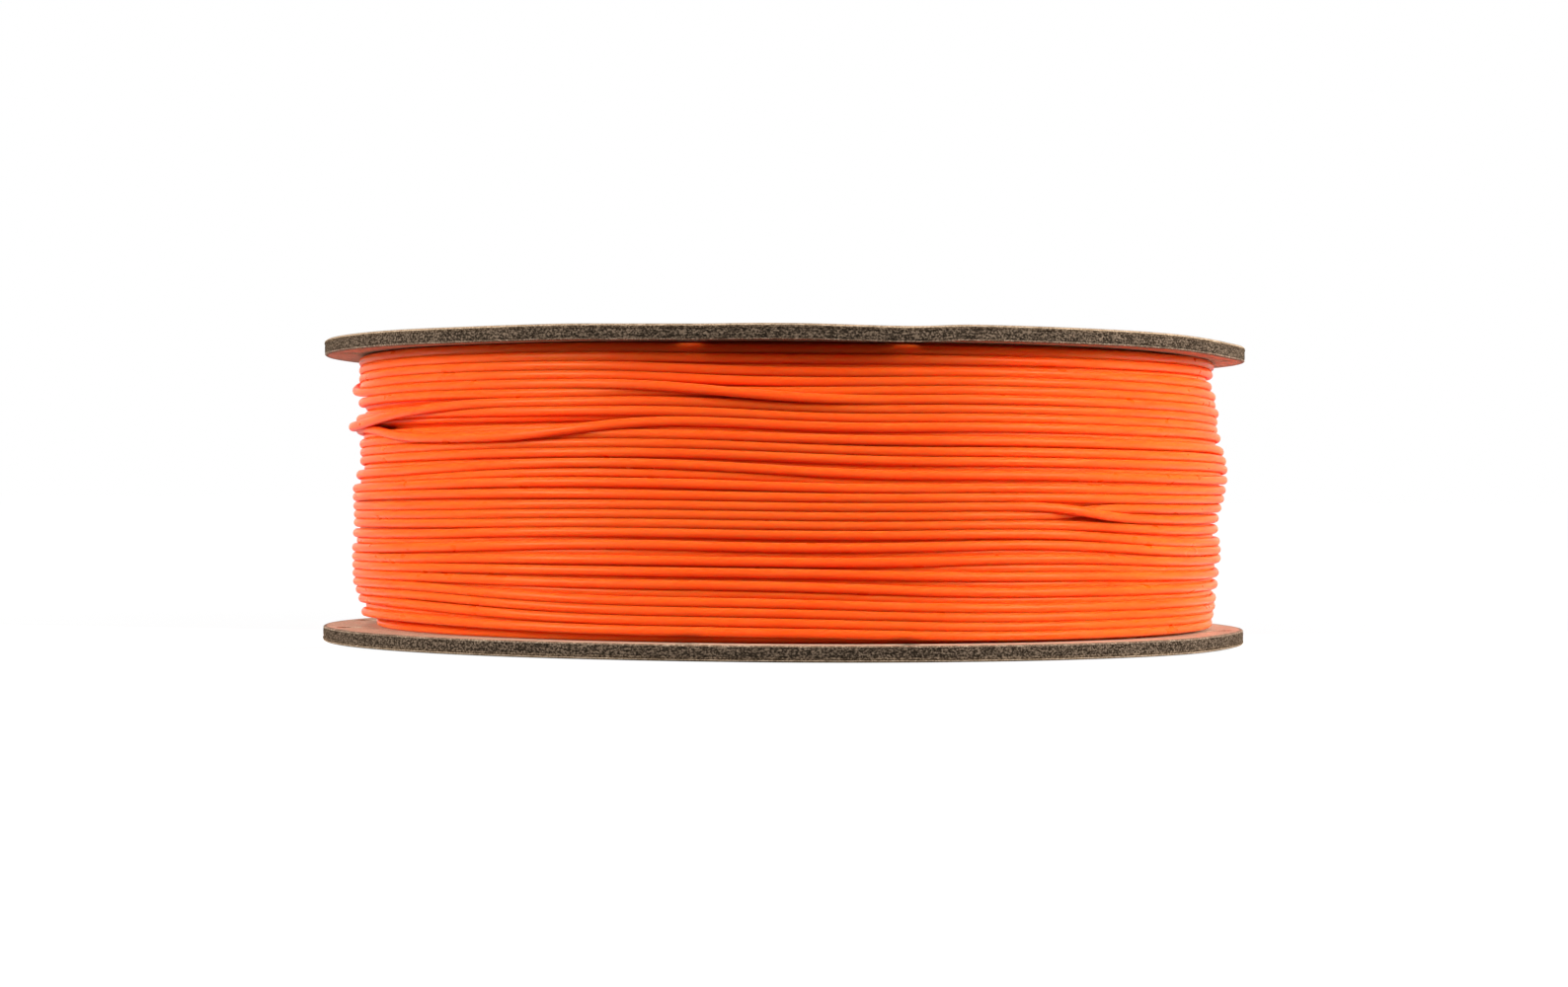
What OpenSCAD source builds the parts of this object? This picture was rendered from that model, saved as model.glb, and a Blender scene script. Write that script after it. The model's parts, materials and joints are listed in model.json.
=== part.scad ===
// Cardboard spool, full of 1.75 mm filament for a 3D printer.
// Z is the spool's axis. The origin is on the axis, in the lower flange's outer face.
// -Y is the front. All sizes are in millimetres.

/* [Flanges] */
// Diameter of both flanges
flange_d = 200; // [170:1:240]
// Thickness of the paper on a flange's outer face
face_liner_t = 0.4; // [0.2:0.05:0.8]
// Thickness of the brown ply under that paper
backing_ply_t = 0.5; // [0.3:0.05:1]
// Thickness of the grey board in the middle of a flange
core_board_t = 1.95; // [1.2:0.05:3]
// Thickness of the paper on the side that faces the filament
inner_liner_t = 0.35; // [0.2:0.05:0.6]
// Radius that die cutting leaves on a flange's outer edge
edge_round = 0.3; // [0.1:0.05:0.5]
// Diameter of the hub hole, which turns on the holder
hub_d = 55; // [30:0.5:80]

/* [Tuck holes] */
// Diameter of a hole that takes the filament's end
tuck_d = 5.5; // [3.5:0.1:7]
// Distance from a flange's rim to the middle of a tuck hole
tuck_edge = 5; // [4:0.1:6]
// Distance between the two holes of a pair, centre to centre
tuck_spacing = 42; // [20:1:60]
// Number of pairs round a flange
tuck_pairs = 4; // [1:1:6]

/* [Core tube] */
// Outer diameter of the core tube
tube_d = 100; // [90:1:130]
// Thickness of the smooth strip wound round the outside of the tube
tube_wrap_t = 0.4; // [0.2:0.05:0.8]
// Thickness of the tube's board
tube_board_t = 3.2; // [2:0.1:5]
// Thickness of the strip that lines the inside of the tube
tube_lining_t = 0.4; // [0.2:0.05:0.8]
// Leg of the glue bead that joins the tube to a flange
glue_leg = 3; // [1:0.25:4.5]

/* [Filament] */
// Clear width between the flanges
winding_w = 58.3; // [30:0.1:90]
// How far the flanges stand out beyond the wound filament
rim_margin = 6; // [4.6:0.1:14]
// Diameter of the filament
filament_d = 1.75; // [1.6:0.05:3]
// Least gap between two turns of the outermost layer
turn_gap = 0.05; // [0.04:0.01:0.2]
// Gap between the outermost layer and a flange
side_gap = 0.2; // [0.1:0.05:1]
// Radius of the bend that takes the filament's end into a tuck hole
end_bend_r = 8; // [5:0.5:12]
// How far the cut end lies below the upper flange's face
end_recess = 0.5; // [0.2:0.1:2]

/* [Hidden] */
$fn = 96;

kraft = [0.66, 0.50, 0.36];
brown_board = [0.52, 0.41, 0.30];
grey_board = [0.34, 0.30, 0.25];
glue_amber = [0.86, 0.79, 0.62];
filament_orange = [1, 0.3, 0.06];

slack = 0.05;            // space between pieces of filament that pass each other
through = 1;             // how far a cutting shape runs past what it cuts

// Flanges, from the outer face inwards
flange_r = flange_d / 2;
backing_z = face_liner_t;
core_z = backing_z + backing_ply_t;
inner_z = core_z + core_board_t;
flange_t = inner_z + inner_liner_t;
height = winding_w + 2 * flange_t;
edge_r = min(edge_round, 0.9 * face_liner_t);

// Tuck holes: each pair is centred on its own axis, the first on the front
tuck_r = flange_r - tuck_edge;
tuck_half = asin(tuck_spacing / 2 / tuck_r);
tuck_angles = [for (i = [0 : tuck_pairs - 1]) for (s = [-1, 1]) 360 / tuck_pairs * i - 90 + s * tuck_half];

// Core tube, from the outside inwards
tube_r = tube_d / 2;
board_r = tube_r - tube_wrap_t;
lining_r = board_r - tube_board_t;
cavity_r = lining_r - tube_lining_t;

// Outermost layer of filament
filament_r = filament_d / 2;
winding_r = flange_r - rim_margin;
turn_r = winding_r - filament_r;
pack_r = winding_r - filament_d;
web_r = turn_r + filament_r / 4;
turns = floor((winding_w - 2 * side_gap) / (filament_d + turn_gap));
pitch = (winding_w - 2 * side_gap - filament_d) / (turns - 1);
first_turn_z = flange_t + side_gap + filament_r;
last_turn_z = first_turn_z + (turns - 1) * pitch;

// The last stretch of filament: it climbs out of the topmost turn's lane, crosses the turns
// below, lies in a valley for most of a turn, and rises into a tuck hole at the back
crest_r = turn_r + filament_d + slack;
valley_r = turn_r + sqrt(pow(filament_d + slack, 2) - pow(pitch / 2, 2));
lanes_down = ceil((end_bend_r - side_gap - filament_r) / pitch + 0.5);
valley_z = last_turn_z - (lanes_down - 0.5) * pitch;
hole_r = max(tuck_r, crest_r);
end_z = height - end_recess;
slot_angle = 14;         // gap in the topmost turn
climb_angle = 12;        // from the lane up onto the crests
cross_angle = 50;        // over the crests to the valley
settle_angle = 8;        // down into the valley, and out of it again
whole_angle = 330;       // from the slot to the tuck hole
bend_angle = end_bend_r / crest_r * 180 / PI;
hole_angle = tuck_angles[len(tuck_angles) > 4 ? 5 : 1];
slot_start = hole_angle - whole_angle;
cross_start = slot_start + climb_angle;
settle_start = cross_start + cross_angle;
lie_start = settle_start + settle_angle;
lift_start = hole_angle - bend_angle - settle_angle;
lie_steps = 46;
ring_sides = 10;

function ease(t) = t * t * (3 - 2 * t);
function blend(a, b, t) = a + (b - a) * t;

// Points of the last stretch as [angle, radius, height]
end_path = concat(
    [for (i = [0 : 6]) [blend(slot_start, cross_start, i / 6), blend(turn_r, crest_r, ease(i / 6)), last_turn_z]],
    [for (i = [1 : 12]) [blend(cross_start, settle_start, i / 12), crest_r,
        blend(last_turn_z, valley_z, ease(i / 12))]],
    [for (i = [1 : 4]) [blend(settle_start, lie_start, i / 4), blend(crest_r, valley_r, ease(i / 4)), valley_z]],
    [for (i = [1 : lie_steps]) [blend(lie_start, lift_start, i / lie_steps), valley_r, valley_z]],
    [for (i = [1 : 4]) [blend(lift_start, hole_angle - bend_angle, i / 4),
        blend(valley_r, crest_r, ease(i / 4)), valley_z]],
    [for (i = [1 : 10]) [hole_angle - bend_angle * (1 - sin(9 * i)), blend(crest_r, hole_r, ease(i / 10)),
        valley_z + end_bend_r * (1 - cos(9 * i))]],
    [[hole_angle, hole_r, end_z]]
);

function point(p) = [p[1] * cos(p[0]), p[1] * sin(p[0]), p[2]];
function unit(v) = v / norm(v);

// A ring of points round the path, square to it, that starts on the side away from the axis
function ring(path, i) =
    let (here = point(path[i]),
         ahead = point(path[min(i + 1, len(path) - 1)]),
         behind = point(path[max(i - 1, 0)]),
         along = unit(ahead - behind),
         away = [here[0], here[1], 0],
         out = unit(away - along * (away * along)),
         side = cross(along, out))
    [for (k = [0 : ring_sides - 1]) here
        + filament_r * (cos(360 / ring_sides * k) * out + sin(360 / ring_sides * k) * side)];

module strand(path) {
    rings = len(path);
    points = [for (i = [0 : rings - 1]) each ring(path, i)];
    walls = [for (i = [0 : rings - 2]) for (k = [0 : ring_sides - 1])
        let (a = i * ring_sides + k, b = i * ring_sides + (k + 1) % ring_sides)
        each [[a, a + ring_sides, b + ring_sides], [a, b + ring_sides, b]]];
    caps = [[for (k = [0 : ring_sides - 1]) k],
        [for (k = [ring_sides - 1 : -1 : 0]) (rings - 1) * ring_sides + k]];
    polyhedron(points, concat(walls, caps), convexity = 4);
}

module washer(outer_r, inner_r, thickness) {
    difference() {
        cylinder(r = outer_r, h = thickness);
        translate([0, 0, -through]) cylinder(r = inner_r, h = thickness + 2 * through);
    }
}

module flange_holes(thickness) {
    translate([0, 0, -through]) cylinder(d = hub_d, h = thickness + 2 * through);
    for (a = tuck_angles)
        rotate(a) translate([tuck_r, 0, -through]) cylinder(d = tuck_d, h = thickness + 2 * through, $fn = 48);
}

module ply(thickness) {
    difference() {
        cylinder(r = flange_r, h = thickness);
        flange_holes(thickness);
    }
}

// The outermost paper, with the rounded edge that the die leaves, outer face down
module face_ply() {
    difference() {
        rotate_extrude() intersection() {
            square([flange_r, face_liner_t]);
            union() {
                translate([0, edge_r]) square([flange_r, face_liner_t]);
                square([flange_r - edge_r, face_liner_t]);
                translate([flange_r - edge_r, edge_r]) circle(r = edge_r, $fn = 32);
            }
        }
        flange_holes(face_liner_t);
    }
}

// Turns a ply of the lower flange into its twin in the upper one
module upper() {
    translate([0, 0, height]) mirror([0, 0, 1]) children();
}

module face_liner() color(kraft) face_ply();
module backing_ply() color(brown_board) translate([0, 0, backing_z]) ply(backing_ply_t);
module core_board() color(grey_board) translate([0, 0, core_z]) ply(core_board_t);
module inner_liner() color(kraft) translate([0, 0, inner_z]) ply(inner_liner_t);

module tube(outer_r, thickness) {
    translate([0, 0, flange_t]) washer(outer_r, outer_r - thickness, winding_w);
}

module tube_wrap() color(kraft) tube(tube_r, tube_wrap_t);
module tube_board() color(grey_board) tube(board_r, tube_board_t);
module tube_lining() color(kraft) tube(lining_r, tube_lining_t);

// A quarter-round bead in the corner between the tube's inside and the lower flange
module glue_bead() {
    color(glue_amber) rotate_extrude() translate([cavity_r, flange_t]) intersection() {
        circle(r = glue_leg, $fn = 48);
        translate([-glue_leg, 0]) square(glue_leg);
    }
}

// The layers under the outermost one, as one solid
module filament_pack() {
    color(filament_orange) translate([0, 0, flange_t]) washer(pack_r, tube_r, winding_w);
}

// Turns side by side on a thin web, with a slot in the topmost one where the last stretch leaves it
module filament_outer_layer() {
    color(filament_orange) difference() {
        rotate_extrude() {
            translate([pack_r, first_turn_z]) square([web_r - pack_r, last_turn_z - first_turn_z]);
            for (i = [0 : turns - 1])
                translate([turn_r, first_turn_z + i * pitch]) circle(r = filament_r, $fn = 24);
        }
        rotate(slot_start) rotate_extrude(angle = slot_angle)
            translate([pack_r - through, last_turn_z - pitch / 2]) square([filament_d + 2 * through, pitch]);
    }
}

module filament_end() color(filament_orange) strand(end_path);

face_liner();  // lower_face_liner
backing_ply();  // lower_backing_ply
core_board();  // lower_core_board
inner_liner();  // lower_inner_liner
upper() face_liner();  // upper_face_liner
upper() backing_ply();  // upper_backing_ply
upper() core_board();  // upper_core_board
upper() inner_liner();  // upper_inner_liner
tube_wrap();
tube_board();
tube_lining();
glue_bead();  // lower_glue_bead
upper() glue_bead();  // upper_glue_bead
filament_pack();
filament_outer_layer();
filament_end();
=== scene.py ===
# %% [markdown]
# # A full cardboard spool of printer filament
# The spool lies on its lower flange. Two laminated board flanges hold one long strand of orange
# filament, wound in layers on a core tube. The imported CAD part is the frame: its nodes give the
# main sizes, and each dressed piece takes the place of the plain solid it stands for.

# %% Load the frame
import json
import math
import bpy
import numpy as np
from mathutils import Matrix, Vector


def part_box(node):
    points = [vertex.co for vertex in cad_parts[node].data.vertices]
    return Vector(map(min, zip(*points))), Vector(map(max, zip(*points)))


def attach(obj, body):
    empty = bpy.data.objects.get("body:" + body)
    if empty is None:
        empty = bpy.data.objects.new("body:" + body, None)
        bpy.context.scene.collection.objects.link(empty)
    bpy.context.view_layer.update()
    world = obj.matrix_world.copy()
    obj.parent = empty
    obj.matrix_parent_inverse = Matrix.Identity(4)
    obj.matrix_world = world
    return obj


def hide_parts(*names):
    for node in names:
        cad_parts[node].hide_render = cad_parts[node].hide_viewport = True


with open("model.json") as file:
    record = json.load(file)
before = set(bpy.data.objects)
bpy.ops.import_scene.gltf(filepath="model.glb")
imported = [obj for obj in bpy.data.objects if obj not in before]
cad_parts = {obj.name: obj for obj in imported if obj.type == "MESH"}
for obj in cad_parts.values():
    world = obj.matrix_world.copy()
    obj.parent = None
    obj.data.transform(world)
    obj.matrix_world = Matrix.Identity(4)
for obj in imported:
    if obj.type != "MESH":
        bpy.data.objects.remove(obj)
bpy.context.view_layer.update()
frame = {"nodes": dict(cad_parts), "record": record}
print("CAD nodes:", len(frame["nodes"]))

# %% [markdown]
# ## Sizes
# The flange plies, the tube and the winding each have a CAD node, so their radii and heights come
# from the nodes' boxes. What a box doesn't tell is named here: the tube's wall, the filament's
# diameter and the tuck holes. Blender works in metres, and MM turns millimetres into metres.

# %% Read the sizes
MM = 0.001
BODY = "root"
TUBE_WALL = 4.0 * MM
FILAMENT_D = 1.75 * MM
FILAMENT_R = FILAMENT_D / 2
TUCK_HOLE_D = 5.5 * MM
TUCK_INSET = 5.0 * MM
TUCK_SPACING = 42.0 * MM


def z_range(node):
    low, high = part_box(node)
    return low.z, high.z


FLANGE_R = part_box("lower_core_board")[1].x
HEIGHT = z_range("upper_face_liner")[1]
FLOOR_Z = z_range("lower_inner_liner")[1]
CEILING_Z = z_range("upper_inner_liner")[0]
TUBE_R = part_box("tube_wrap")[1].x
CAVITY_R = TUBE_R - TUBE_WALL
WINDING_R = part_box("filament_pack")[1].x + FILAMENT_D
HUB_R = frame["record"]["mounts"][0]["dims"]["r_mm"] * MM
TUCK_R = FLANGE_R - TUCK_INSET
TUCK_HOLE_R = TUCK_HOLE_D / 2
TUCK_HALF = math.asin(TUCK_SPACING / 2 / TUCK_R)
TUCK_ANGLES = [math.radians(90 * i - 90) + side * TUCK_HALF for i in range(4) for side in (-1, 1)]
print("flange radius", round(FLANGE_R, 4), "winding radius", round(WINDING_R, 4))
print("height", round(HEIGHT, 4))

# %% [markdown]
# ## Winding the filament
# On the real spool one strand runs back and forth between the flanges. Here the strand is laid by
# a small calculation in place of a physics engine, and only in the last two layers, because nobody
# sees the rest. The outermost turns lie side by side, with a gap here and there that opens and
# closes again. Each lies in the groove between two turns of the hidden layer, as in a good winding,
# and the hidden turns change grooves together at the back. The strand is pulled taut over what it
# lies on: like a string over bumps, it spans hollows in straight chords, so that a turn that strays
# from its groove crosses over its neighbours and never cuts through them.
#
# The strand's last stretch leaves the topmost lane, crosses down over its neighbours, lies on them
# for most of a turn, and bends up into a tuck hole at the back.

# %% Plan the strand's path
# A turn has one step for each degree, so an angle in degrees is also a number of steps.
STEPS = 360
HIDDEN_TURNS = 25
OUTER_TURNS = 26
# The least distance between two turns of a layer, and how much taller than wide a tube is drawn
NEAREST = 1.78 * MM
WIDENED = 1.08
FLOOR_GAP = 0.05 * MM
CEILING_GAP = 0.25 * MM
LOWEST = FLOOR_Z + WIDENED * FILAMENT_R + FLOOR_GAP
HIGHEST = CEILING_Z - FILAMENT_R - CEILING_GAP
TURN_R = WINDING_R - FILAMENT_R
EXIT_ANGLE = TUCK_ANGLES[5]
# Degrees from where the last stretch leaves its lane to its tuck hole, and those of the bend up
EXIT_LENGTH = 330
BEND_LENGTH = 5
LAST_STRETCH = EXIT_LENGTH - BEND_LENGTH
HALF = HIDDEN_TURNS * STEPS
LEAVE = HALF + OUTER_TURNS * STEPS + round(math.degrees(EXIT_ANGLE) - EXIT_LENGTH) % STEPS
TOTAL = LEAVE + LAST_STRETCH
angles = np.arange(TOTAL) % STEPS / STEPS * 2 * math.pi
print("steps in all:", TOTAL)

# %% Turns that leave their lanes
# Single turns of the outermost layer that leave their lane and come back: height, angle of either
# crossing, length of a crossing, and how far they go. They lie on top of their neighbours. The turn
# at SWAP changes places with the one below instead.
SLIPS = [(44.9, 206, 243, 26, -2.8), (50.0, 130, 212, 42, -3.4)]
SWAP = (28.9, 307, 400, 14)
# Whole bands of turns that run aslant: height and half width of the band, angle where it starts and
# ends to rise or fall, and how far. Each comes back on the far side of the spool.
SWAYS = [
    (53, 3, 200, 222, 0.8), (52, 4, 244, 272, -2.3), (53, 3, 274, 290, 1.5),
    (45, 3, 234, 256, 1.0), (37, 4, 205, 246, 1.9), (37, 4, 252, 282, -1.9),
    (22, 4, 218, 246, 1.2), (22, 4, 250, 268, -0.8), (21, 5, 120, 190, 1.2), (24, 4, 300, 326, -2.2),
    (16, 3, 205, 222, 1.0), (18, 4, 300, 338, -1.4),
    (9, 4, 140, 195, 3.2), (9, 4, 200, 254, -3.0), (12, 4, 262, 296, -1.8), (6, 3, 255, 300, -0.8),
]
# Angles between which the bands come back and the hidden turns change grooves
BACK = (15, 85)
# The lanes that the last stretch sinks into on its way: angles where they open and close, and height
LAST_LANES = [(168, 262, 53.2), (258, 460, 50.8)]
OPENING = 18
# How it comes down to each: after how many degrees, and in how many
LAST_DROPS = [(12, 50), (113, 30)]
LAST_SOFTNESS = 5
print("slips:", len(SLIPS), "sways:", len(SWAYS))

# %% [markdown]
# The outermost turns climb from flange to flange, one lane each. Smooth noise decides where a gap
# opens between two of them, the bands bend the lanes, and then all lanes are moved just far enough
# apart that no turn takes its neighbour's place.

# %% Lanes of the outermost layer
# How the gaps open: from which noise on, and how much of a turn they taper out in at the flanges
GAP_FROM = 0.5
TAPER = 0.4


def ease(t):
    """Rises smoothly from 0 to 1 as t does."""
    t = np.clip(t, 0, 1)
    return t * t * (3 - 2 * t)


def noise_along(rng, steps, cell, size):
    """Smooth random heights along a line of steps, one knot every cell steps."""
    knots = rng.normal(0, size, int(steps / cell) + 3)
    x = np.arange(steps) / cell
    i = x.astype(int)
    t = ease(x - i)
    return knots[i] * (1 - t) + knots[i + 1] * t


def swayed(angle, z):
    """How far the bands carry a turn out of its lane, in metres."""
    total = 0
    for height, reach, start, end, shift in SWAYS:
        near = np.exp(-((z / MM - height) / reach) ** 2)
        turned = (angle - BACK[1]) % 360
        there = ease((turned - start + BACK[1]) / (end - start))
        back = ease((turned - 360 + BACK[1] - BACK[0]) / (BACK[1] - BACK[0]))
        total = total + shift * MM * near * (there - back)
    return total


def keep_apart(turns):
    """The nearest heights to the given ones at which no turn of a column comes too close to the next."""
    count = len(turns)
    spare = turns - NEAREST * np.arange(count)[:, None]
    total = np.concatenate([np.zeros((1, STEPS)), np.cumsum(spare, 0)])
    mean = np.full((count, count, STEPS), np.inf)
    for first in range(count):
        length = np.arange(1, count - first + 1)[:, None]
        mean[first, first:] = (total[first + 1:] - total[first]) / length
    spare = np.array([mean[:k + 1, k:].min(1).max(0) for k in range(count)])
    spare = np.clip(spare, LOWEST, HIGHEST - NEAREST * (count - 1))
    return spare + NEAREST * np.arange(count)[:, None]


def outer_lanes(seed, cell, looseness):
    """Heights of the outermost turns, one row for each turn from the lowest up."""
    rng = np.random.default_rng(seed)
    steps = OUTER_TURNS * STEPS
    gap = ease((noise_along(rng, steps, cell * STEPS, 1.0) - GAP_FROM) / (1 - GAP_FROM)) + looseness
    gap *= ease(np.minimum(np.arange(steps), np.arange(steps)[::-1]) / (TAPER * STEPS))
    gap = gap.reshape(OUTER_TURNS, STEPS)
    room = HIGHEST - LOWEST - OUTER_TURNS * NEAREST
    gap *= room / gap.sum(0)
    turned = np.arange(STEPS) / STEPS
    first = LOWEST + NEAREST * turned
    lanes = first + np.concatenate([np.zeros((1, STEPS)), np.cumsum(NEAREST + gap[:-1], 0)])
    return keep_apart(lanes + swayed(360 * turned, lanes))


# %% [markdown]
# The last stretch and the stray turns are planned one by one. The last stretch has its neighbours
# moved apart to make room for it. A stray turn needs no room: it lies on top of the others, or
# changes places with one of them.

# %% Lanes for the last stretch and for stray turns


def open_lane(lanes, start, end, height):
    """Moves turns apart to make room for the last stretch. Returns them, and the lane's own height."""
    row = np.searchsorted(lanes[:, start], height * MM)
    turned = np.arange(STEPS)
    late = turned + STEPS <= end
    moved = []
    for place in (row, row + 1):
        middle = (lanes[place - 1] + lanes[place]) / 2
        moved.append(keep_apart(np.insert(lanes, place, middle, 0)))
    own = np.where(late, moved[1][row + 1], moved[0][row])
    others = np.where(late, np.delete(moved[1], row + 1, 0), np.delete(moved[0], row, 0))
    turned = np.where(late, turned + STEPS, turned)
    opened = ease((turned - start) / OPENING) - ease((turned - end + OPENING) / OPENING)
    return lanes + (others - lanes) * opened, own


def stray(outer, height, start, end, ramp):
    """The stretch of one turn between two crossings: its indices, and 1 where it is out of its lane."""
    column = outer[round((start + end) / 2) % STEPS::STEPS]
    lane = np.abs(column - height * MM).argmin() - (start + end) // (2 * STEPS)
    turned = np.arange(start - ramp, end + ramp)
    away = ease((turned - start) / ramp + 0.5) - ease((turned - end) / ramp + 0.5)
    return lane * STEPS + turned, away


# %% [markdown]
# The hidden layer follows from the outermost one: each of its turns lies halfway between two of
# those, and bulges a little where they leave a gap. Both layers are then joined into one path, down
# through the hidden lanes and up through the outermost, with the last stretch at its end.

# %% One path from all lanes
SQUEEZE = 0.9
MOST_SQUEEZE = 0.9 * MM
SOFTNESS = 6


def squeezed(lanes):
    """How far a hidden turn bulges into the gap above it, without lifting the turns on either side."""
    beside = (lanes[STEPS:] - lanes[:-STEPS]) / 2
    rest = math.sqrt(FILAMENT_D**2 - (NEAREST / 2) ** 2)
    sunk = rest - np.sqrt(np.clip(FILAMENT_D**2 - beside**2, 0, None))
    return np.clip(SQUEEZE * sunk, 0, MOST_SQUEEZE)


def smooth(row, width):
    """Blurs a row of numbers by a bell curve of the given width."""
    reach = 3 * width
    weight = np.exp(-0.5 * (np.arange(-reach, reach + 1) / width) ** 2)
    return np.convolve(np.pad(row, reach, "edge"), weight / weight.sum(), "valid")


def plan_path(seed, cell, looseness):
    """The strand's height at each step, and how far it bulges out of the hidden layer."""
    lanes = outer_lanes(seed, cell, looseness)
    opened, first_lane = open_lane(lanes, *LAST_LANES[0])
    opened, second_lane = open_lane(opened, *LAST_LANES[1])
    outer = smooth(opened.ravel(), SOFTNESS)
    hidden = np.concatenate([(outer[STEPS:] + outer[:-STEPS]) / 2, np.full(2 * STEPS, HIGHEST)])
    bulge = np.concatenate([squeezed(smooth(lanes.ravel(), SOFTNESS)), np.zeros(2 * STEPS)])
    changed = np.tile(ease((np.arange(STEPS) - BACK[0]) / (BACK[1] - BACK[0])), HIDDEN_TURNS)
    lane = (np.arange(HIDDEN_TURNS)[::-1, None] * STEPS + np.arange(STEPS)).ravel()
    down = hidden[lane] * changed + hidden[lane + 2 * STEPS] * (1 - changed)
    lift = np.concatenate([smooth(bulge[lane] * changed, SOFTNESS), np.zeros(TOTAL - HALF)])
    outer[:STEPS] += (hidden[STEPS:2 * STEPS] - outer[:STEPS]) * (1 - changed[:STEPS])
    at, away = stray(outer, *SWAP)
    below = at - STEPS
    apart = (outer[at] - outer[below]) * away
    outer[at] -= apart
    outer[below] += apart
    for height, start, end, ramp, shift in SLIPS:
        at, away = stray(outer, height, start, end, ramp)
        outer[at] += shift * MM * away
    after = np.arange(LAST_STRETCH)
    column = (LEAVE + after) % STEPS
    last = np.full(LAST_STRETCH, HIGHEST)
    for own_lane, (wait, length) in zip((first_lane, second_lane), LAST_DROPS):
        last += (own_lane[column] - last) * ease((after - wait) / length)
    path = np.concatenate([down, outer, np.full(TOTAL - HALF - len(outer), HIGHEST)])
    path = np.clip(path, LOWEST, HIGHEST)
    path[LEAVE:] = smooth(last, LAST_SOFTNESS)
    return path, lift


# %% Lanes for both layers
lain_z, lift = plan_path(seed=3789, cell=0.4, looseness=0.03)
laid_turns = TOTAL / STEPS
print("strand:", round(laid_turns * 2 * math.pi * TURN_R, 1), "m in", round(laid_turns, 1), "turns")

# %% [markdown]
# Height is only half of the path. How far out the strand lies depends on what it lies on: first on
# a bed, which stands for all deeper layers, and then on every turn that is under it already.

# %% Bed of deeper layers
# The strand's middle lies a radius inside NOMINAL_R, and one layer's rise further in on the bed
NOMINAL_R = 94.0 * MM
LAYER_RISE = 1.35 * MM
# A full spool is never quite even: (height, how far the winding stands above its nominal radius)
# on the left and on the right side. Front and back are in between, and sink by FRONT_DIP.
FRONT_DIP = 0.3
SWELL_LEFT = [(5, -3.0), (10, -1.8), (14, -0.5), (20, -0.3), (26, -0.8), (32, -0.4), (37, -1.9),
              (42, -2.0), (46, -1.5), (49, -1.4), (53, -1.9), (60, -1.6)]
SWELL_RIGHT = [(5, -1.1), (10, -0.2), (20, 0.9), (26, 0.0), (29, 0.5), (33, 1.7), (37, 2.3),
               (40, 1.7), (44, 0.0), (50, 0.0), (54, -1.3), (60, -1.5)]


def bed_radius(angle, z):
    """How far out the strand's middle lies where only the hidden layers carry it."""
    left = np.interp(z / MM, *zip(*SWELL_LEFT))
    right = np.interp(z / MM, *zip(*SWELL_RIGHT))
    side = np.cos(angle)
    swell = left * np.clip(-side, 0, 1) ** 2 + right * np.clip(side, 0, 1) ** 2
    swell -= FRONT_DIP * (1 - side**2)
    return NOMINAL_R - FILAMENT_R - LAYER_RISE + swell * MM


around = np.radians([0, 90, 180, 270])
print("bed at half height, right, back, left, front, mm:", (bed_radius(around, HEIGHT / 2) / MM).round(2))

# %% Lay the strand
# It is laid a quarter turn at a time. Each piece is pulled taut together with a little of the strand
# ahead of it, which is laid again, and of the strand that lies already.
CHUNK, AHEAD, LEAD = STEPS // 4, STEPS // 15, STEPS // 9
PULLS = 40
SPANS = (1, 2, 4, 8, 16)


def carried(index):
    """The radius at which the strand rests on the bed and on every earlier turn."""
    z = lain_z[index]
    radius = bed_radius(angles[index], z) + lift[index]
    back = np.arange(1, index[0] // STEPS + 2)[:, None]
    under = index[None] - back * STEPS
    known = under >= 0
    under = np.where(known, under, 0)
    gap = np.abs(z[None] - lain_z[under])
    rest = lain_r[under] + np.sqrt(np.clip(FILAMENT_D**2 - gap**2, 0, None))
    return np.maximum(radius, np.where(known & (gap < FILAMENT_D), rest, 0).max(0))


def pull_taut(radius, fixed):
    """Lifts points to the chord between points on either side, as a string does. The first are fixed."""
    for _ in range(PULLS):
        for reach in SPANS:
            if len(radius) <= 2 * reach:
                continue
            before, after = radius[:-2 * reach], radius[2 * reach:]
            chord = 2 * before * after * math.cos(reach * 2 * math.pi / STEPS) / (before + after)
            free = max(fixed - reach, 0)
            middle = radius[reach:-reach]
            middle[free:] = np.maximum(middle, chord)[free:]
    return radius


lain_r = np.zeros(TOTAL)
for start in range(0, TOTAL, CHUNK):
    index = np.arange(start, min(start + CHUNK + AHEAD, TOTAL))
    first = max(0, start - LEAD)
    radius = pull_taut(np.concatenate([lain_r[first:start], carried(index)]), start - first)
    count = min(CHUNK, TOTAL - start)
    lain_r[start:start + count] = radius[start - first:start - first + count]

spread = np.percentile(lain_r[HALF:] / MM, [0, 5, 50, 95, 100]).round(2)
print("outermost layer's middle radius, mm:", spread)

# %% [markdown]
# The end has to clear the turns above it on its way up to the hole, so it is lifted onto the
# highest of them, as far as the hole allows. A taut string again gives the run-up.

# %% Lift the end towards its hole
RUN_UP = 60
column = np.arange(TOTAL - 1, 0, -STEPS)
above = lain_z[column] > lain_z[TOTAL - 1] - FILAMENT_D
EXIT_R = min((lain_r[column][above]).max() + FILAMENT_D, TUCK_R + TUCK_HOLE_R - FILAMENT_R)
lain_r[TOTAL - 3:] = EXIT_R
lain_r[TOTAL - RUN_UP:] = pull_taut(lain_r[TOTAL - RUN_UP:].copy(), 0)
print("the end stands", round((EXIT_R - TURN_R) / MM, 2), "mm above a plain turn")

# %% [markdown]
# ## Small helpers
# An operator acts on everything that is selected, so each piece starts with nothing selected.
# A finished piece has its place in its mesh, rides on the spool's body and hides the CAD node it
# stands for.

# %% Helpers for pieces


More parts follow.
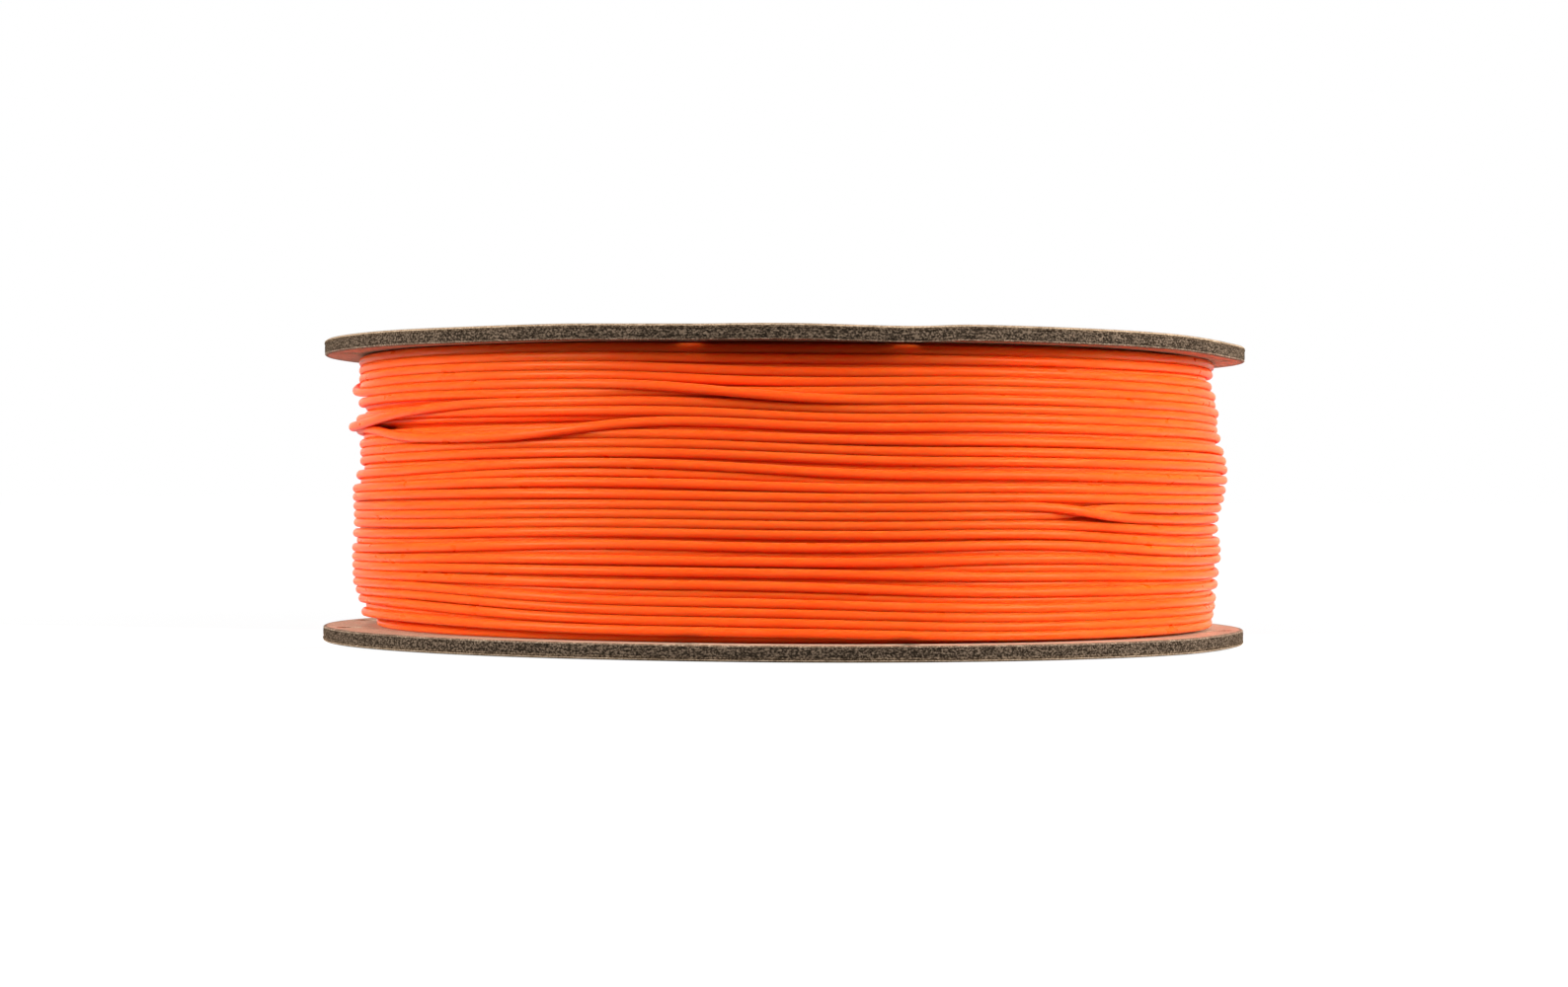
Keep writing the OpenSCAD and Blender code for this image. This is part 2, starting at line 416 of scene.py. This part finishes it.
def deselect():
    if bpy.context.object and bpy.context.object.mode != "OBJECT":
        bpy.ops.object.mode_set(mode="OBJECT")
    bpy.ops.object.select_all(action="DESELECT")


def only(obj):
    """Selects one object and makes it the active one."""
    deselect()
    obj.select_set(True)
    bpy.context.view_layer.objects.active = obj


def settle(obj, name, slot, *nodes):
    """Names a piece, puts its place in its mesh, hangs it on the spool's body and hides its CAD nodes."""
    only(obj)
    bpy.ops.object.transform_apply(location=True, rotation=True, scale=True)
    obj.name = obj.data.name = name
    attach(obj, BODY)
    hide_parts(*nodes)
    print(name, "faces", len(obj.data.polygons))
    return obj


def spots_of(obj):
    spots = np.empty(len(obj.data.vertices) * 3)
    obj.data.vertices.foreach_get("co", spots)
    return spots.reshape(-1, 3)


def move_spots(obj, spots):
    obj.data.vertices.foreach_set("co", spots.ravel())
    obj.data.update()


# %% [markdown]
# ## Strands as tubes
# A curve with a round bevel is the quickest tube, and turning it into a mesh keeps it exact. The
# hidden layer needs few sides, the outermost one twelve, so that its highlights stay smooth. Each
# tube is stretched in height by WIDENED, which closes the cracks between neighbours: they overlap
# a little there.

# %% Make the tubes


def cylindrical(radius, angle, height):
    return np.stack([radius * np.cos(angle), radius * np.sin(angle), height], 1)


def averaged(values, reach=4):
    """Evens out the values over a few steps to either side."""
    width = 2 * reach + 1
    return np.convolve(np.pad(values, reach, "edge"), np.ones(width) / width, "valid")


def strand_points(first, last, step):
    at = np.arange(first, last, step)
    return cylindrical(averaged(lain_r)[at], angles[at], averaged(lain_z)[at])


def end_points():
    """From the last laid point, a quarter bend upwards and then straight on into the hole."""
    turn = np.radians(np.linspace(6, 90, 15))
    left = (EXIT_ANGLE - angles[-1]) % (2 * math.pi)
    bend_r = left * EXIT_R
    bend_angle = EXIT_ANGLE - left * (1 - np.sin(turn))
    bend = cylindrical(EXIT_R, bend_angle, lain_z[-1] + bend_r * (1 - np.cos(turn)))
    top = z_range("filament_end")[1]
    rise = cylindrical(EXIT_R, np.full(6, EXIT_ANGLE), np.linspace(bend[-1, 2], top, 7)[1:])
    return np.concatenate([strand_points(LEAVE, TOTAL, 1), bend, rise])


def tube_from(points, name, rounding):
    """A tube along the points. It is drawn round on a flattened path and then stretched in height."""
    points = points / (1, 1, WIDENED)
    curve = bpy.data.curves.new(name, "CURVE")
    curve.dimensions = "3D"
    curve.bevel_depth = FILAMENT_R
    curve.bevel_resolution = rounding
    curve.use_fill_caps = True
    spline = curve.splines.new("POLY")
    spline.points.add(len(points) - 1)
    spline.points.foreach_set("co", np.concatenate([points, np.ones((len(points), 1))], 1).ravel())
    tube = bpy.data.objects.new(name, curve)
    bpy.context.scene.collection.objects.link(tube)
    only(tube)
    bpy.ops.object.convert(target="MESH")
    bpy.ops.object.shade_smooth()
    tube = bpy.context.object
    move_spots(tube, spots_of(tube) * (1, 1, WIDENED))
    return tube


middle = HALF + OUTER_TURNS // 2 * STEPS
hidden_layer = tube_from(strand_points(0, HALF + 1, 2), "hidden_layer", 2)
outer_low = tube_from(strand_points(HALF, middle + 1, 1), "outer_low", 4)
outer_high = tube_from(strand_points(middle, LEAVE + 1, 1), "outer_high", 4)
end = tube_from(end_points(), "end", 4)

# %% [markdown]
# Under the laid turns the winding is a plain ring of hidden layers. It is a cylinder with the
# core tube's hole. Its outside lies just below the bed that the turns were laid on and is rounded
# into plain turns, which show here and there in a gap. The first layer of turns is joined to it.

# %% Helpers for turned pieces
TOLERANCE = 0.01 * MM
CREASE = 35


def polar(spots):
    """How far each vertex is from the axis, and its angle around it."""
    return np.hypot(spots[:, 0], spots[:, 1]), np.arctan2(spots[:, 1], spots[:, 0])


def smooth_faces(obj, degrees):
    """Smooth shading, with creases where faces meet at more than the given angle."""
    only(obj)
    bpy.ops.object.shade_smooth_by_angle(angle=math.radians(degrees))


def edge_ends(obj):
    """The two vertices of each edge."""
    ends = np.empty(len(obj.data.edges) * 2, dtype=int)
    obj.data.edges.foreach_get("vertices", ends)
    return ends.reshape(-1, 2)


def edit_edges(obj, chosen):
    """Enters edit mode with only the chosen edges selected."""
    mesh = obj.data
    mesh.vertices.foreach_set("select", np.zeros(len(mesh.vertices), dtype=bool))
    mesh.polygons.foreach_set("select", np.zeros(len(mesh.polygons), dtype=bool))
    mesh.edges.foreach_set("select", chosen)
    bpy.context.tool_settings.mesh_select_mode = (False, True, False)
    bpy.ops.object.mode_set(mode="EDIT")


def leave_edges():
    bpy.context.tool_settings.mesh_select_mode = (False, False, True)
    bpy.ops.object.mode_set(mode="OBJECT")


def cut_rows(rows):
    """Divides the rim into rows, by cutting every upright edge of the cylinder."""
    piece = bpy.context.object
    heights = spots_of(piece)[:, 2][edge_ends(piece)]
    edit_edges(piece, np.abs(heights[:, 0] - heights[:, 1]) > TOLERANCE)
    bpy.ops.mesh.subdivide(number_cuts=rows - 1)
    leave_edges()


def ring(radii, low, high, segments, rows=()):
    """A cylinder with both faces inset from radius to radius and bridged into a hole at the last."""
    deselect()
    bpy.ops.mesh.primitive_cylinder_add(
        vertices=segments, radius=radii[0], depth=high - low, location=(0, 0, (low + high) / 2))
    bpy.ops.object.transform_apply(location=True)
    for count in rows:
        cut_rows(count)
    bpy.ops.object.mode_set(mode="EDIT")
    bpy.ops.mesh.select_all(action="DESELECT")
    bpy.ops.mesh.select_face_by_sides(number=segments)
    for outside, inside in zip(radii, radii[1:]):
        bpy.ops.mesh.inset(thickness=outside - inside, depth=0)
    bpy.ops.mesh.bridge_edge_loops()
    bpy.ops.object.mode_set(mode="OBJECT")
    return bpy.context.object


# %% Ring of hidden layers
ROUND_SEGMENTS = 240
BED_TURNS = 32
BED_DEPTH = 0.35 * MM
bed = ring((TURN_R, TUBE_R), FLOOR_Z, CEILING_Z, ROUND_SEGMENTS, rows=(BED_TURNS, 8))
spots = spots_of(bed)
radius, angle = polar(spots)
across = ((spots[:, 2] - FLOOR_Z) / (CEILING_Z - FLOOR_Z) * BED_TURNS % 1 - 0.5) * 2
lower = bed_radius(angle, spots[:, 2]) - BED_DEPTH
lower -= FILAMENT_R * (1 - np.sqrt(np.clip(1 - across**2, 0, 1)))
spots[:, :2] *= np.where(radius > TUBE_R + 1 * MM, lower / radius, 1)[:, None]
move_spots(bed, spots)
smooth_faces(bed, CREASE)
deselect()
bed.select_set(True)
hidden_layer.select_set(True)
bpy.context.view_layer.objects.active = bed
bpy.ops.object.join()
inner_winding = settle(bed, "inner_winding", "filament", "filament_pack")
outer_turns_low = settle(outer_low, "outer_turns_low", "filament", "filament_outer_layer")
outer_turns_high = settle(outer_high, "outer_turns_high", "filament", "filament_outer_layer")
tucked_end = settle(end, "tucked_end", "filament", "filament_end")

# %% [markdown]
# ## Flanges
# A flange is four plies of board and paper, glued together and die cut in one stroke. Each ply is
# turned from a cylinder: rings are inset on both faces, the innermost faces are bridged into the
# hub hole, and the tuck holes are cut by a boolean. Then the rim gets what the die leaves behind:
# loose fibres, worn edges, a ply that stands back a little, a fine furrow between plies, and a warp.
# The warp only ever bends a rim inwards, so the spool stays as tall as the CAD part.

# %% Cutters for the tuck holes
FLANGE_SEGMENTS = 720
FLANGE_RADII = [FLANGE_R - inward * MM for inward in (0, 0.5, 2, 6, 10, 40)] + [HUB_R]


def tuck_cutters():
    pins = []
    for angle in TUCK_ANGLES:
        deselect()
        bpy.ops.mesh.primitive_cylinder_add(
            vertices=40, radius=TUCK_HOLE_R, depth=2 * HEIGHT,
            location=(TUCK_R * math.cos(angle), TUCK_R * math.sin(angle), HEIGHT / 2))
        pins.append(bpy.context.object)
    deselect()
    for pin in pins:
        pin.select_set(True)
    bpy.ops.object.join()
    return bpy.context.object


cutters = tuck_cutters()
print("tuck holes:", len(TUCK_ANGLES))

# %% Warp of each flange
# (angle, how far the rim bends towards the filament in millimetres)
BENT = {
    "lower": [
        (0, 0.2), (40, 0.1), (90, 0.15), (150, 0.05), (200, 0.06), (250, 0.1), (268, 0.04),
        (300, 0.01), (325, 0.03), (333, 0.2), (340, 0.33)],
    "upper": [
        (0, 0.5), (40, 0.3), (90, 0.15), (130, 0.35), (170, 0.25), (200, 0.2), (217, 0.16),
        (228, 0.25), (244, 0.15), (250, 0.33), (260, 0.46), (264, 0.31), (271, 0.30), (276, 0.5),
        (281, 0.65), (285, 0.5), (288, 0.08), (295, 0.0), (312, 0.0), (321, 0.1), (332, 0.55),
        (337, 0.75)],
}
BENT_WIDTH = 20 * MM


def warp(side, spots):
    """Bends the outermost two centimetres of a flange towards the filament."""
    radius, angle = polar(spots)
    angle = np.degrees(angle) % 360
    knots = list(zip(*BENT[side]))
    bent = np.mean([np.interp(angle + a, *knots, period=360) for a in (-2, -1, 0, 1, 2)], 0)
    reach = np.clip((radius - FLANGE_R + BENT_WIDTH) / BENT_WIDTH, 0, 1) ** 2
    spots[:, 2] += bent * MM * reach * (1 if side == "lower" else -1)


# %% Plies
# Rows of faces across the rim, how far the ply stands back in millimetres, and its material slot
PLIES = {
    "core_board": (6, 0.12, "grey_board"),
    "face_liner": (4, 0.0, "kraft_paper"),
    "backing_ply": (3, 0.05, "brown_board"),
    "inner_liner": (4, 0.02, "kraft_paper"),
}
ROUNDED = 0.6 * MM
WORN = 0.07 * MM
TORN_KNOTS = 240
TORN_DEPTH = 0.03 * MM
FIBRE_DEPTH = 0.018 * MM


def noise_round(rng, knot_count, size):
    """A smooth random function of the angle that closes on itself."""
    knots = rng.normal(0, size, knot_count)

    def at(angle):
        x = (angle / (2 * math.pi) % 1) * knot_count
        i = x.astype(int) % knot_count
        t = ease(x - np.floor(x))
        return knots[i] * (1 - t) + knots[(i + 1) % knot_count] * t

    return at


def turn_ply(low, high, rows):
    piece = ring(FLANGE_RADII, low, high, FLANGE_SEGMENTS, rows=(rows,))
    holes = piece.modifiers.new("tuck_holes", "BOOLEAN")
    holes.operation = "DIFFERENCE"
    holes.object = cutters
    bpy.ops.object.modifier_apply(modifier="tuck_holes")
    return piece


def roughen_rim(piece, stands_back, low, high, rng):
    """The ply's vertices after the die and wear have left their marks on its rim."""
    spots = spots_of(piece)
    radius, angle = polar(spots)
    rim = radius > FLANGE_R - 0.1 * MM
    inner_face = FLOOR_Z if low < HEIGHT / 2 else CEILING_Z
    at_edge = np.abs(2 * (spots[:, 2] - low) / (high - low) - 1) ** 4
    to_face = np.minimum(spots[:, 2], HEIGHT - spots[:, 2])
    to_face = np.clip(np.minimum(to_face, np.abs(spots[:, 2] - inner_face)), 0, ROUNDED)
    torn = noise_round(rng, TORN_KNOTS, TORN_DEPTH)(angle)
    fibre = rng.normal(0, FIBRE_DEPTH, len(spots))
    inward = stands_back * MM + WORN * at_edge + np.abs(torn + fibre)
    inward += ROUNDED - np.sqrt(ROUNDED**2 - (ROUNDED - to_face) ** 2)
    scale = np.where(rim, (radius - inward) / radius, 1)
    spots[:, :2] *= scale[:, None]
    return spots


plies = {}
for side, first_seed in (("lower", 20), ("upper", 30)):
    for seed, (ply, (rows, stands_back, slot)) in enumerate(PLIES.items(), first_seed):
        node = f"{side}_{ply}"
        low, high = z_range(node)
        piece = turn_ply(low, high, rows)
        spots = roughen_rim(piece, stands_back, low, high, np.random.default_rng(seed))
        warp(side, spots)
        move_spots(piece, spots)
        smooth_faces(piece, CREASE)
        plies[node] = settle(piece, f"{node}_cut", slot, node)
bpy.data.objects.remove(cutters)

# %% [markdown]
# ## Hot glue
# A bead of hot glue holds each flange to the core tube. It runs round the corner inside the tube,
# thick here and thin there, and shows through the hub hole.

# %% Glue beads
GLUE_LEG = 3.0 * MM
GLUE_ROUNDING = 0.96 * GLUE_LEG
GLUE_CREASE = 50
LUMP_KNOTS = 46
LUMP_SIZE = 0.16


def glue_bead(side, seed):
    """A ring with its free corner rounded off, then thinned by lumps that run round it."""
    low, high = z_range(f"{side}_glue_bead")
    base, corner_z = (low, high) if side == "lower" else (high, low)
    piece = ring((CAVITY_R, CAVITY_R - GLUE_LEG), low, high, ROUND_SEGMENTS)
    spots = spots_of(piece)
    inside = polar(spots)[0] < CAVITY_R - 1 * MM
    at_corner = inside & (np.abs(spots[:, 2] - corner_z) < TOLERANCE)
    edit_edges(piece, at_corner[edge_ends(piece)].all(1))
    bpy.ops.mesh.bevel(offset=GLUE_ROUNDING, segments=8, profile=0.5)
    leave_edges()
    spots = spots_of(piece)
    radius, angle = polar(spots)
    lumps = noise_round(np.random.default_rng(seed), LUMP_KNOTS, LUMP_SIZE)(angle)
    swell = np.clip(0.8 + lumps, 0.45, 1)
    spots[:, :2] *= ((CAVITY_R - (CAVITY_R - radius) * swell) / radius)[:, None]
    spots[:, 2] = base + (spots[:, 2] - base) * swell
    move_spots(piece, spots)
    smooth_faces(piece, GLUE_CREASE)
    return settle(piece, f"{side}_glue_line", "hot_glue", f"{side}_glue_bead")


beads = [glue_bead("lower", 41), glue_bead("upper", 42)]

# %% [markdown]
# ## Materials
# All detail is procedural and sits in the pieces' own coordinates. Board and paper are random
# fibres: fine noise squashed in height gives the layered look of a cut rim and stays even on the
# flat faces, where height doesn't change.

# %% Material helpers


def new_material(name):
    material = bpy.data.materials.new(name)
    material.use_nodes = True
    return material, material.node_tree, material.node_tree.nodes["Principled BSDF"]


def add(tree, kind, inputs, **settings):
    """Adds a shader node, sets it up, and links or fills its inputs."""
    made = tree.nodes.new("ShaderNode" + kind)
    for key, value in settings.items():
        setattr(made, key, value)
    for key, value in inputs.items():
        if isinstance(value, bpy.types.NodeSocket):
            tree.links.new(value, made.inputs[key])
        else:
            made.inputs[key].default_value = value
    return made


def noise(tree, place, scale, detail=3.0, rough=0.6):
    inputs = {"Vector": place, "Scale": scale, "Detail": detail, "Roughness": rough}
    return add(tree, "TexNoise", inputs).outputs["Fac"]


def ramp(tree, value, stops):
    """A colour ramp with the given (position, grey or colour) stops."""
    made = add(tree, "ValToRGB", {"Fac": value})
    steps = made.color_ramp.elements
    while len(steps) < len(stops):
        steps.new(0.5)
    for step, (position, colour) in zip(steps, stops):
        step.position = position
        step.color = (*colour, 1) if isinstance(colour, tuple) else (colour, colour, colour, 1)
    return made.outputs["Color"]


def mixed(tree, factor, below, above, blend="MIX"):
    """Mixes two colours, each a socket or written out."""
    made = add(tree, "Mix", {}, data_type="RGBA", blend_type=blend)
    for socket, value in ((0, factor), (6, below), (7, above)):
        if isinstance(value, bpy.types.NodeSocket):
            tree.links.new(value, made.inputs[socket])
        else:
            made.inputs[socket].default_value = value if socket == 0 else (*value, 1)
    return made.outputs[2]


def squashed(tree, factor):
    """The place on the object, with height multiplied by the factor."""
    place = add(tree, "TexCoord", {}).outputs["Object"]
    return add(tree, "Mapping", {"Vector": place, "Scale": (1, 1, factor)}).outputs["Vector"]


def bump(tree, height, distance, strength):
    inputs = {"Height": height, "Distance": distance, "Strength": strength}
    return add(tree, "Bump", inputs).outputs["Normal"]


def dress(obj, material):
    obj.data.materials.clear()
    obj.data.materials.append(material)


# %% [markdown]
# ### Filament
# Printer filament is drawn plastic: smooth, waxy and slightly translucent, so light that enters a
# strand comes out warmer beside it. Subsurface scattering gives that, where a plain colour would
# look like paint. Noise that is stretched along the strand varies its tone, gloss and surface.

# %% Filament


def filament_material():
    material, tree, shader = new_material("orange_filament")
    along = squashed(tree, 3)
    tone = noise(tree, along, 45, 2.0)
    colour = ramp(tree, tone, [(0.3, (0.96, 0.085, 0.010)), (0.7, (0.98, 0.10, 0.013))])
    tree.links.new(colour, shader.inputs["Base Color"])
    drawn = noise(tree, along, 120, 2.0)
    tree.links.new(ramp(tree, drawn, [(0.3, 0.27), (0.7, 0.33)]), shader.inputs["Roughness"])
    tree.links.new(bump(tree, drawn, 0.02 * MM, 0.3), shader.inputs["Normal"])
    shader.inputs["Specular IOR Level"].default_value = 0.12
    shader.inputs["Specular Tint"].default_value = (1, 0.75, 0.45, 1)
    shader.inputs["Subsurface Weight"].default_value = 1.0
    shader.inputs["Subsurface Radius"].default_value = (1.0, 0.4, 0.1)
    shader.inputs["Subsurface Scale"].default_value = 3.0 * MM
    return material


orange = filament_material()
wound = (inner_winding, outer_turns_low, outer_turns_high, tucked_end)
for piece in wound:
    dress(piece, orange)
print("dressed in filament:", len(wound), "pieces")

# %% [markdown]
# ### Board and paper
# A die-cut rim shows short dark and pale fibres in layers, and the papers on the faces are paler
# and smoother. One function makes all of them from two noises, because they differ in shades and
# scale only. The inner paper's cut edge has darker shades, chosen by the distance from the axis.

# %% Board and paper
# A paper's cut edge has its own shades. They take over in the outermost millimetre of a flange.
CUT_FROM = FLANGE_R - 1.1 * MM
CUT_TO = FLANGE_R - 0.7 * MM


def board_material(name, shades, speckle, streak, layers, depth, edge=None, shine=0.0):
    """Fibrous board: pale and dark dots, streaks along the plies, and larger blotches."""
    dark, mid, light = shades
    material, tree, shader = new_material(name)
    dots = noise(tree, squashed(tree, 1.4), speckle, 2.0, 0.6)
    streaks = noise(tree, squashed(tree, layers), streak, 4.0, 0.7)
    fibres = mixed(tree, 0.35, dots, streaks)
    colour = ramp(tree, fibres, [(0.42, dark), (0.5, mid), (0.58, light)])
    if edge:
        out = add(tree, "VectorMath", {0: squashed(tree, 0)}, operation="LENGTH").outputs["Value"]
        rim = add(tree, "MapRange", {"Value": out, "From Min": CUT_FROM, "From Max": CUT_TO})
        cut = ramp(tree, fibres, [(0.42, edge[0]), (0.52, edge[1]), (0.6, edge[2])])
        colour = mixed(tree, rim.outputs["Result"], colour, cut)
    blotches = ramp(tree, noise(tree, squashed(tree, 3), 90, 3.0), [(0.3, 0.85), (0.7, 1.15)])
    colour = mixed(tree, 1.0, colour, blotches, "MULTIPLY")
    tree.links.new(colour, shader.inputs["Base Color"])
    tree.links.new(bump(tree, fibres, depth, 0.9), shader.inputs["Normal"])
    shader.inputs["Roughness"].default_value = 0.7 if shine else 0.95
    shader.inputs["Specular IOR Level"].default_value = shine
    shader.inputs["Specular Tint"].default_value = (1, 0.8, 0.65, 1)
    shader.inputs["Sheen Weight"].default_value = 0.15
    shader.inputs["Sheen Roughness"].default_value = 0.6
    shader.inputs["Sheen Tint"].default_value = (0.29, 0.185, 0.115, 1)
    return material


# Dark, middle and light fibres of each
GREY = ((0.012, 0.009, 0.006), (0.045, 0.032, 0.022), (0.16, 0.115, 0.08))
BROWN = ((0.02, 0.013, 0.008), (0.06, 0.04, 0.025), (0.17, 0.12, 0.08))
KRAFT = ((0.32, 0.22, 0.15), (0.42, 0.30, 0.20), (0.52, 0.38, 0.27))
COVER = ((0.22, 0.15, 0.09), (0.34, 0.24, 0.155), (0.46, 0.34, 0.24))
TORN = ((0.08, 0.05, 0.03), (0.16, 0.11, 0.07), (0.42, 0.32, 0.23))
grey = board_material("grey_board", GREY, 2100, 420, 6, 0.25 * MM)
brown = board_material("brown_board", BROWN, 2100, 450, 6, 0.2 * MM)
kraft = board_material("kraft_paper", KRAFT, 2600, 500, 1.5, 0.05 * MM, edge=TORN, shine=0.3)
cover = board_material("cover_paper", COVER, 2600, 500, 1.5, 0.05 * MM)
PLY_LOOKS = {"core_board": grey, "backing_ply": brown, "face_liner": cover, "inner_liner": kraft}
for node, piece in plies.items():
    dress(piece, PLY_LOOKS[node.split("_", 1)[1]])
for node, material in (("tube_wrap", kraft), ("tube_board", grey), ("tube_lining", kraft)):
    dress(frame["nodes"][node], material)
print("dressed in board and paper:", len(plies), "plies and the core tube")

# %% [markdown]
# ### Glue
# Hot glue sets cloudy and amber. Light passes a little way into it and its skin stays shiny, so it
# gets some subsurface scattering and a low roughness.

# %% Glue


def glue_material():
    material, tree, shader = new_material("hot_glue")
    place = squashed(tree, 1)
    cloudy = noise(tree, place, 400, 3.0)
    colour = ramp(tree, cloudy, [(0.3, (0.50, 0.36, 0.18)), (0.7, (0.66, 0.52, 0.30))])
    tree.links.new(colour, shader.inputs["Base Color"])
    tree.links.new(bump(tree, cloudy, 0.1 * MM, 0.6), shader.inputs["Normal"])
    shader.inputs["Roughness"].default_value = 0.28
    shader.inputs["Subsurface Weight"].default_value = 0.3
    shader.inputs["Subsurface Scale"].default_value = 1.5 * MM
    return material


amber = glue_material()
for bead in beads:
    dress(bead, amber)
print("dressed in glue:", len(beads), "beads")

# %% [markdown]
# ## Floor, light and camera
# The render shows the spool on white. The floor and the world are white to the camera, but they
# light the object only a little, so that the lamps shape it. Reflections see the floor at half
# its brightness, and of the world only a narrow backdrop behind the object.

# %% Floor and world
WHITE_RAYS = ("Is Camera Ray", "Is Glossy Ray", "Is Transmission Ray")


def seen_directly(tree, reflected):
    """1 for the camera's rays, the given amount for mirrored ones, and 0 for rays of diffuse light."""
    path = add(tree, "LightPath", {})
    total = path.outputs[WHITE_RAYS[0]]
    for name in WHITE_RAYS[1:]:
        seen = add(tree, "Math", {0: path.outputs[name], 1: reflected}, operation="MULTIPLY").outputs[0]
        total = add(tree, "Math", {0: total, 1: seen}, operation="MAXIMUM").outputs[0]
    return total


def floor_material():
    """White to the camera. It throws light back from the left and right, and little from front and back."""
    material, tree, shader = new_material("pale_floor")
    shader.inputs["Roughness"].default_value = 0.9
    shader.inputs["Specular IOR Level"].default_value = 0.0
    place = add(tree, "TexCoord", {}).outputs["Object"]
    beside = add(tree, "VectorMath", {0: place, 1: (1, -3.5, 0)}, operation="MULTIPLY").outputs["Vector"]
    beside = add(tree, "VectorMath", {0: beside}, operation="ABSOLUTE").outputs["Vector"]
    beside = add(tree, "VectorMath", {0: beside, 1: (1, -1, 0)}, operation="DOT_PRODUCT").outputs["Value"]
    shade = add(tree, "MapRange", {
        "Value": beside, "From Min": -0.05, "From Max": 0.1, "To Min": 0.05, "To Max": 0.8})
    tree.links.new(shade.outputs["Result"], shader.inputs["Base Color"])
    away = add(tree, "VectorMath", {0: place}, operation="LENGTH").outputs["Value"]
    white = add(tree, "MapRange", {
        "Value": away, "From Min": 0.2, "From Max": 0.8, "To Min": 0.94, "To Max": 1.0})
    glow = add(tree, "Math", {0: seen_directly(tree, 0.5), 1: white.outputs["Result"]}, operation="MULTIPLY")
    shader.inputs["Emission Color"].default_value = (1, 1, 1, 1)
    tree.links.new(glow.outputs[0], shader.inputs["Emission Strength"])
    return material


deselect()
bpy.ops.mesh.primitive_plane_add(size=60, location=(0, 0, 0))
floor = bpy.context.object
floor.name = "floor"
dress(floor, floor_material())

AMBIENT = 0.08
world = bpy.data.worlds.new("studio")
bpy.context.scene.world = world
world.use_nodes = True
sky = world.node_tree
background = sky.nodes["Background"]
background.inputs["Color"].default_value = (1, 1, 1, 1)
direction = add(sky, "TexCoord", {}).outputs["Generated"]
depth = add(sky, "SeparateXYZ", {"Vector": direction}).outputs["Y"]
backdrop = add(sky, "MapRange", {"Value": depth, "From Min": 0.65, "From Max": 0.97}).outputs["Result"]
strength = add(sky, "MapRange", {"Value": seen_directly(sky, backdrop), "To Min": AMBIENT, "To Max": 1.0})
sky.links.new(strength.outputs["Result"], background.inputs["Strength"])
print("level of light from all around:", AMBIENT)

# %% [markdown]
# The camera looks square at the spool from the front, at about half its height, so that the rims
# show as shallow arcs. Its small turn, tilt and roll are those of a camera set up by hand.

# %% Camera
CAMERA_DISTANCE = 733.7 * MM
CAMERA_TURN = math.radians(-1.6)
CAMERA_TILT = math.radians(0.063)
CAMERA_ROLL = math.radians(0.328)
CAMERA_HEIGHT = HEIGHT / 2 - 0.97 * MM
CAMERA_LENS = 76.87
camera_data = bpy.data.cameras.new("camera")
camera = bpy.data.objects.new("camera", camera_data)
bpy.context.scene.collection.objects.link(camera)
camera_data.lens = CAMERA_LENS
azimuth = -math.pi / 2 + CAMERA_TURN
camera.location = (CAMERA_DISTANCE * math.cos(azimuth), CAMERA_DISTANCE * math.sin(azimuth), CAMERA_HEIGHT)
aim = Matrix.Rotation(CAMERA_TURN, 4, "Z") @ Matrix.Rotation(math.pi / 2 + CAMERA_TILT, 4, "X")
camera.rotation_euler = (aim @ Matrix.Rotation(CAMERA_ROLL, 4, "Z")).to_euler()
bpy.context.scene.camera = camera
print("camera at", [round(v, 4) for v in camera.location], "with a lens of", CAMERA_LENS, "mm")

# %% [markdown]
# Large soft lamps light the spool from above and from both sides. The level of a lamp is the
# brightness that it gives a white surface facing it, so the levels of the lamps that reach a side
# add up. Of the lamps, only the two strips show in reflections and draw highlights on the strands.

# %% Lamps
FRONT = -90
LAMP_DISTANCE = 1.2


def softbox(name, azimuth, elevation, size, level, gleams=False):
    """A lamp that gives a white surface facing it about this level. Gleams shows it in reflections."""
    data = bpy.data.lights.new(name, "AREA")
    data.shape = "RECTANGLE"
    data.size, data.size_y = size
    data.energy = level * math.pi**2 * LAMP_DISTANCE**2
    lamp = bpy.data.objects.new(name, data)
    bpy.context.scene.collection.objects.link(lamp)
    a, e = math.radians(azimuth), math.radians(elevation)
    where = Vector((math.cos(a) * math.cos(e), math.sin(a) * math.cos(e), math.sin(e))) * LAMP_DISTANCE
    lamp.location = Vector((0, 0, HEIGHT / 2)) + where
    lamp.rotation_euler = (-where).to_track_quat("-Z", "Y").to_euler()
    lamp.visible_glossy = gleams
    print(name, "level", level, "power", round(data.energy, 2), "W")


softbox("softbox_top", FRONT, 75, (1.4, 0.5), 0.4)
softbox("softbox_front", FRONT, 45, (2.0, 0.5), 0.5)
softbox("softbox_left", FRONT - 88, 6, (0.7, 0.5), 0.6)
softbox("strip_left", FRONT - 62, 20, (0.55, 0.3), 1.0, gleams=True)
softbox("softbox_right", FRONT + 88, 10, (0.8, 0.6), 1.2)
softbox("strip_right", FRONT + 62, 20, (0.7, 0.3), 1.05, gleams=True)

# %% Finish
scene = bpy.context.scene
scene.view_settings.view_transform = "Standard"
